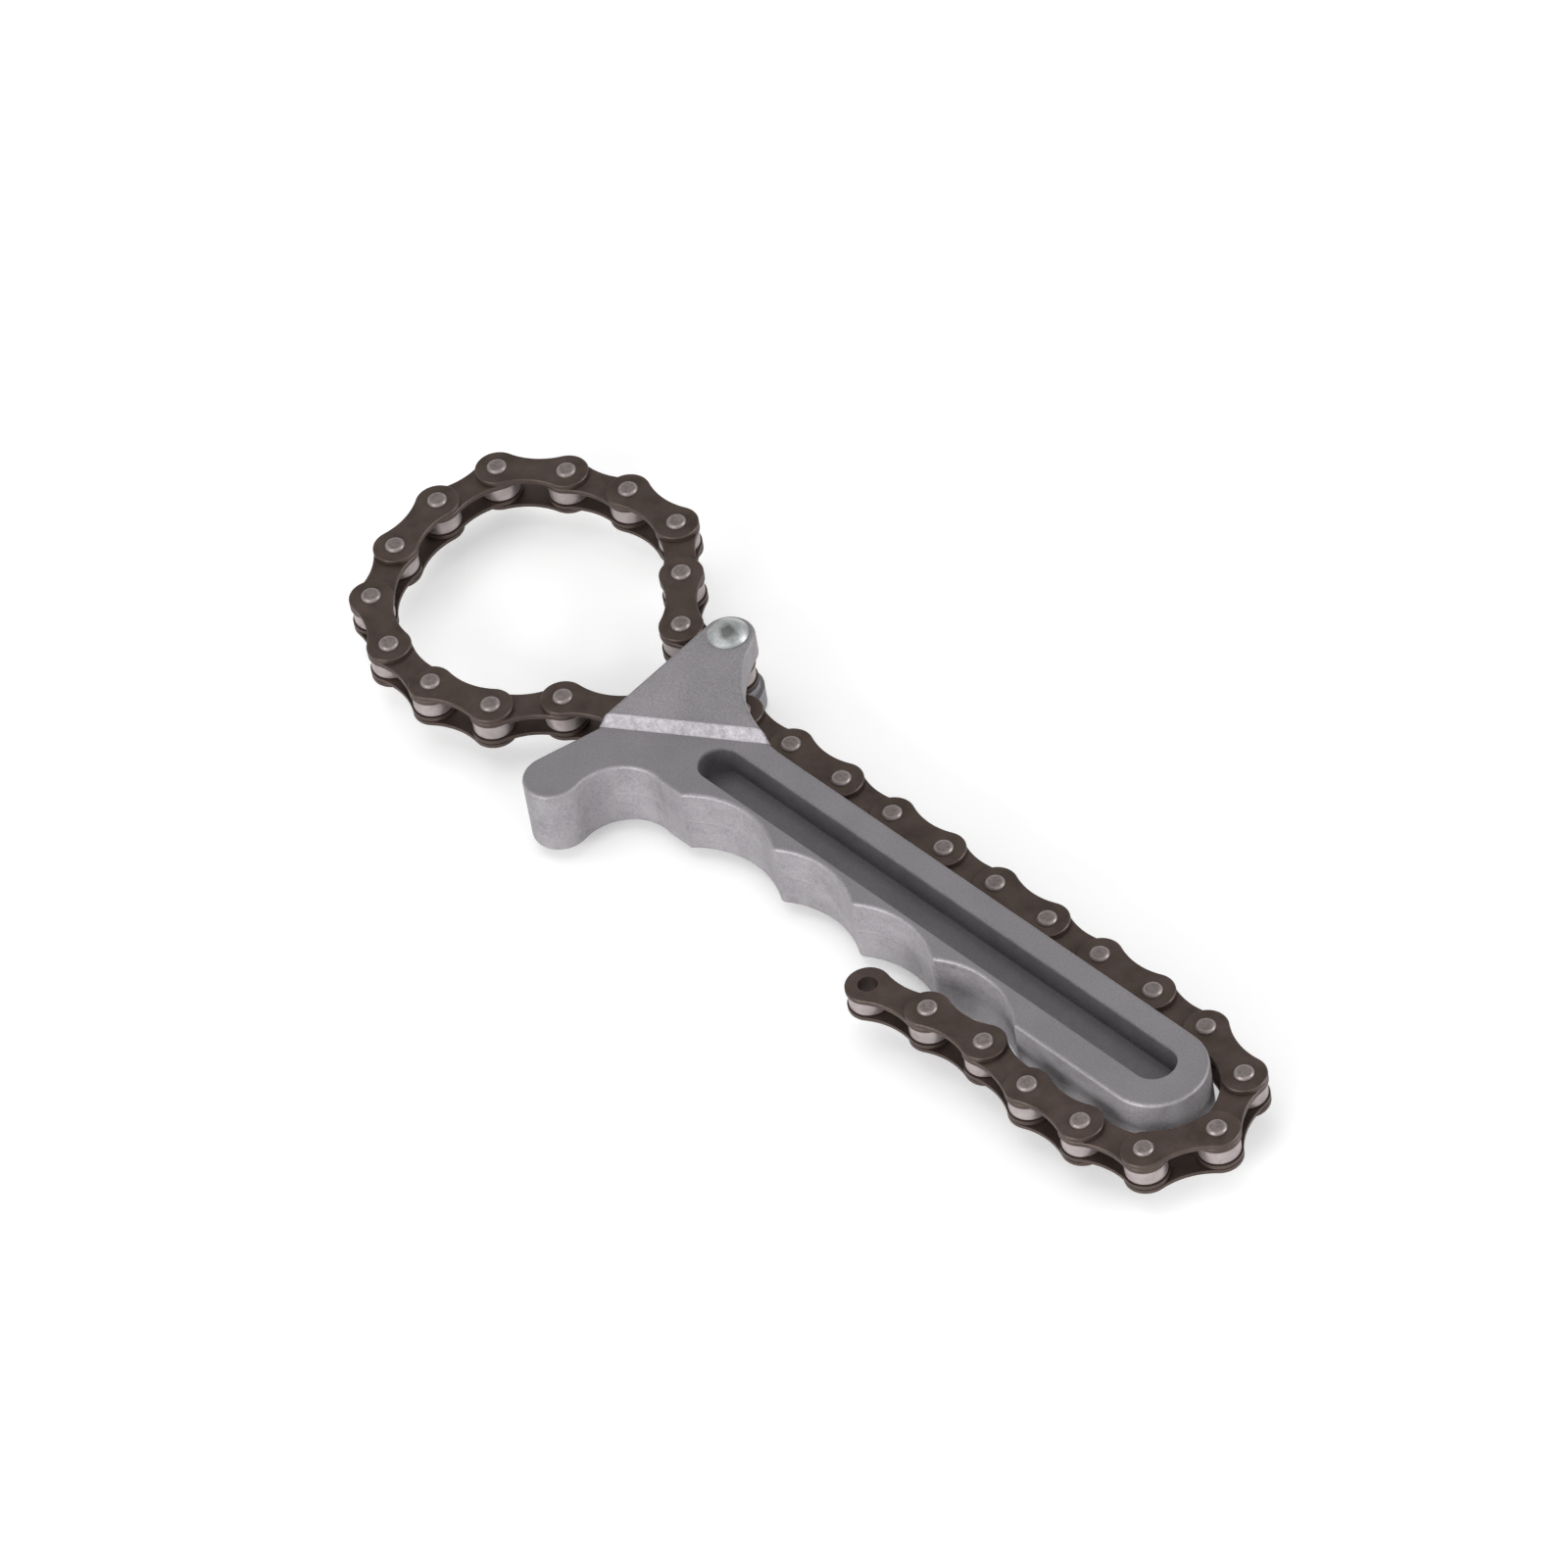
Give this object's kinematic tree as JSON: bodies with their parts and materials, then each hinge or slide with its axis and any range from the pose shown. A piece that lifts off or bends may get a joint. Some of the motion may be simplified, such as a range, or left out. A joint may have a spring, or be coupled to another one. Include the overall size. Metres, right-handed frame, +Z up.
{
  "type": "chain oil filter wrench",
  "caption": "Cast handle with a forked head and finger grips, and a roller chain that loops round a filter and is caught in the fork.",
  "frame": {"origin": "foot of the rivet axis, in the plane of the underside of the head, which is the face the tool lies on", "axes": "+X from the head along the grip to its end, +Y from the finger side to the spine side, +Z up along the rivet"},
  "size_m": [0.2194, 0.0673, 0.0199],
  "materials": {
    "casting": "matte die casting",
    "rivet": "bright zinc",
    "inner_plates": "oil-blackened",
    "outer_plates": "oil-blackened",
    "rollers": "ground steel"
  },
  "bodies": {
    "handle": {"handle_casting": "casting", "rivet": "rivet", "link_15_inner": "inner_plates", "link_15_rollers": "rollers"},
    "link_01": {"link_01_inner": "inner_plates", "link_01_rollers": "rollers"},
    "link_02": {"link_02_outer": "outer_plates"},
    "link_03": {"link_03_inner": "inner_plates", "link_03_rollers": "rollers"},
    "link_04": {"link_04_outer": "outer_plates"},
    "link_05": {"link_05_inner": "inner_plates", "link_05_rollers": "rollers"},
    "link_06": {"link_06_outer": "outer_plates"},
    "link_07": {"link_07_inner": "inner_plates", "link_07_rollers": "rollers"},
    "link_08": {"link_08_outer": "outer_plates"},
    "link_09": {"link_09_inner": "inner_plates", "link_09_rollers": "rollers"},
    "link_10": {"link_10_outer": "outer_plates"},
    "link_11": {"link_11_inner": "inner_plates", "link_11_rollers": "rollers"},
    "link_12": {"link_12_outer": "outer_plates"},
    "link_13": {"link_13_inner": "inner_plates", "link_13_rollers": "rollers"},
    "link_14": {"link_14_outer": "outer_plates"},
    "link_16": {"link_16_outer": "outer_plates"},
    "link_17": {"link_17_inner": "inner_plates", "link_17_rollers": "rollers"},
    "link_18": {"link_18_outer": "outer_plates"},
    "link_19": {"link_19_inner": "inner_plates", "link_19_rollers": "rollers"},
    "link_20": {"link_20_outer": "outer_plates"},
    "link_21": {"link_21_inner": "inner_plates", "link_21_rollers": "rollers"},
    "link_22": {"link_22_outer": "outer_plates"},
    "link_23": {"link_23_inner": "inner_plates", "link_23_rollers": "rollers"},
    "link_24": {"link_24_outer": "outer_plates"},
    "link_25": {"link_25_inner": "inner_plates", "link_25_rollers": "rollers"},
    "link_26": {"link_26_outer": "outer_plates"},
    "link_27": {"link_27_inner": "inner_plates", "link_27_rollers": "rollers"},
    "link_28": {"link_28_outer": "outer_plates"},
    "link_29": {"link_29_inner": "inner_plates", "link_29_rollers": "rollers"},
    "link_30": {"link_30_outer": "outer_plates"},
    "link_31": {"link_31_inner": "inner_plates", "link_31_rollers": "rollers"},
    "link_32": {"link_32_outer": "outer_plates"},
    "link_33": {"link_33_inner": "inner_plates", "link_33_rollers": "rollers"}
  },
  "joints": [
    {"name": "pivot_00", "type": "hinge", "parent": "handle", "child": "link_01", "pos_m": [0, 0, 0.009], "axis": [0, 0, 1], "range_deg": [-40, 3]},
    {"name": "pivot_01", "type": "hinge", "parent": "link_01", "child": "link_02", "pos_m": [-0.01269, -0.00038, 0.009], "axis": [0, 0, 1], "range_deg": [-40, 4]},
    {"name": "pivot_02", "type": "hinge", "parent": "link_02", "child": "link_03", "pos_m": [-0.02196, 0.00831, 0.009], "axis": [0, 0, 1], "range_deg": [-40, 4]},
    {"name": "pivot_03", "type": "hinge", "parent": "link_03", "child": "link_04", "pos_m": [-0.0318, 0.01634, 0.009], "axis": [0, 0, 1], "range_deg": [-40, 5]},
    {"name": "pivot_04", "type": "hinge", "parent": "link_04", "child": "link_05", "pos_m": [-0.0445, 0.0164, 0.009], "axis": [0, 0, 1], "range_deg": [-40, 10]},
    {"name": "pivot_05", "type": "hinge", "parent": "link_05", "child": "link_06", "pos_m": [-0.0566, 0.01255, 0.009], "axis": [0, 0, 1], "range_deg": [-40, 45]},
    {"name": "pivot_06", "type": "hinge", "parent": "link_06", "child": "link_07", "pos_m": [-0.06692, 0.00515, 0.009], "axis": [0, 0, 1], "range_deg": [-40, 60]},
    {"name": "pivot_14", "type": "hinge", "parent": "handle", "child": "link_14", "pos_m": [-0.00423, -0.02061, 0.009], "axis": [0, 0, 1], "range_deg": [-3, 25]},
    {"name": "pivot_13", "type": "hinge", "parent": "link_14", "child": "link_13", "pos_m": [-0.01581, -0.02581, 0.009], "axis": [0, 0, 1], "range_deg": [-4, 25]},
    {"name": "pivot_12", "type": "hinge", "parent": "link_13", "child": "link_12", "pos_m": [-0.02429, -0.03527, 0.009], "axis": [0, 0, 1], "range_deg": [-5, 25]},
    {"name": "pivot_11", "type": "hinge", "parent": "link_12", "child": "link_11", "pos_m": [-0.0366, -0.03838, 0.009], "axis": [0, 0, 1], "range_deg": [-30, 25]},
    {"name": "pivot_10", "type": "hinge", "parent": "link_11", "child": "link_10", "pos_m": [-0.04921, -0.03689, 0.009], "axis": [0, 0, 1], "range_deg": [-30, 25]},
    {"name": "pivot_09", "type": "hinge", "parent": "link_10", "child": "link_09", "pos_m": [-0.06046, -0.03099, 0.009], "axis": [0, 0, 1], "range_deg": [-30, 25]},
    {"name": "pivot_08", "type": "hinge", "parent": "link_09", "child": "link_08", "pos_m": [-0.0665, -0.01982, 0.009], "axis": [0, 0, 1], "range_deg": [-30, 40]},
    {"name": "pivot_15", "type": "hinge", "parent": "handle", "child": "link_16", "pos_m": [-0.00202, -0.0081, 0.009], "axis": [0, 0, 1], "range_deg": [0, 0.6]},
    {"name": "pivot_16", "type": "hinge", "parent": "link_16", "child": "link_17", "pos_m": [0.01068, -0.00795, 0.009], "axis": [0, 0, 1], "range_deg": [0, 0.6]},
    {"name": "pivot_17", "type": "hinge", "parent": "link_17", "child": "link_18", "pos_m": [0.02338, -0.00795, 0.009], "axis": [0, 0, 1], "range_deg": [0, 0.7]},
    {"name": "pivot_18", "type": "hinge", "parent": "link_18", "child": "link_19", "pos_m": [0.03608, -0.00795, 0.009], "axis": [0, 0, 1], "range_deg": [0, 0.8]},
    {"name": "pivot_19", "type": "hinge", "parent": "link_19", "child": "link_20", "pos_m": [0.04878, -0.00795, 0.009], "axis": [0, 0, 1], "range_deg": [0, 1]},
    {"name": "pivot_20", "type": "hinge", "parent": "link_20", "child": "link_21", "pos_m": [0.06148, -0.00795, 0.009], "axis": [0, 0, 1], "range_deg": [0, 1.2]},
    {"name": "pivot_21", "type": "hinge", "parent": "link_21", "child": "link_22", "pos_m": [0.07418, -0.00795, 0.009], "axis": [0, 0, 1], "range_deg": [0, 1.6]},
    {"name": "pivot_22", "type": "hinge", "parent": "link_22", "child": "link_23", "pos_m": [0.08688, -0.00795, 0.009], "axis": [0, 0, 1], "range_deg": [0, 2.4]},
    {"name": "pivot_23", "type": "hinge", "parent": "link_23", "child": "link_24", "pos_m": [0.09958, -0.00795, 0.009], "axis": [0, 0, 1], "range_deg": [0, 4]},
    {"name": "pivot_24", "type": "hinge", "parent": "link_24", "child": "link_25", "pos_m": [0.11228, -0.00795, 0.009], "axis": [0, 0, 1], "range_deg": [0, 8]},
    {"name": "pivot_25", "type": "hinge", "parent": "link_25", "child": "link_26", "pos_m": [0.12498, -0.00795, 0.009], "axis": [0, 0, 1], "range_deg": [0, 90]},
    {"name": "pivot_26", "type": "hinge", "parent": "link_26", "child": "link_27", "pos_m": [0.13726, -0.0112, 0.009], "axis": [0, 0, 1], "range_deg": [0, 75]},
    {"name": "pivot_27", "type": "hinge", "parent": "link_27", "child": "link_28", "pos_m": [0.14244, -0.02279, 0.009], "axis": [0, 0, 1], "range_deg": [0, 75]},
    {"name": "pivot_28", "type": "hinge", "parent": "link_28", "child": "link_29", "pos_m": [0.13631, -0.03392, 0.009], "axis": [0, 0, 1], "range_deg": [0, 60]},
    {"name": "pivot_29", "type": "hinge", "parent": "link_29", "child": "link_30", "pos_m": [0.12387, -0.03645, 0.009], "axis": [0, 0, 1], "range_deg": [0, 60]},
    {"name": "pivot_30", "type": "hinge", "parent": "link_30", "child": "link_31", "pos_m": [0.11116, -0.03645, 0.009], "axis": [0, 0, 1], "range_deg": [0, 60]},
    {"name": "pivot_31", "type": "hinge", "parent": "link_31", "child": "link_32", "pos_m": [0.09862, -0.03446, 0.009], "axis": [0, 0, 1], "range_deg": [-1, 60]},
    {"name": "pivot_32", "type": "hinge", "parent": "link_32", "child": "link_33", "pos_m": [0.08595, -0.03535, 0.009], "axis": [0, 0, 1], "range_deg": [-4, 60]}
  ]
}
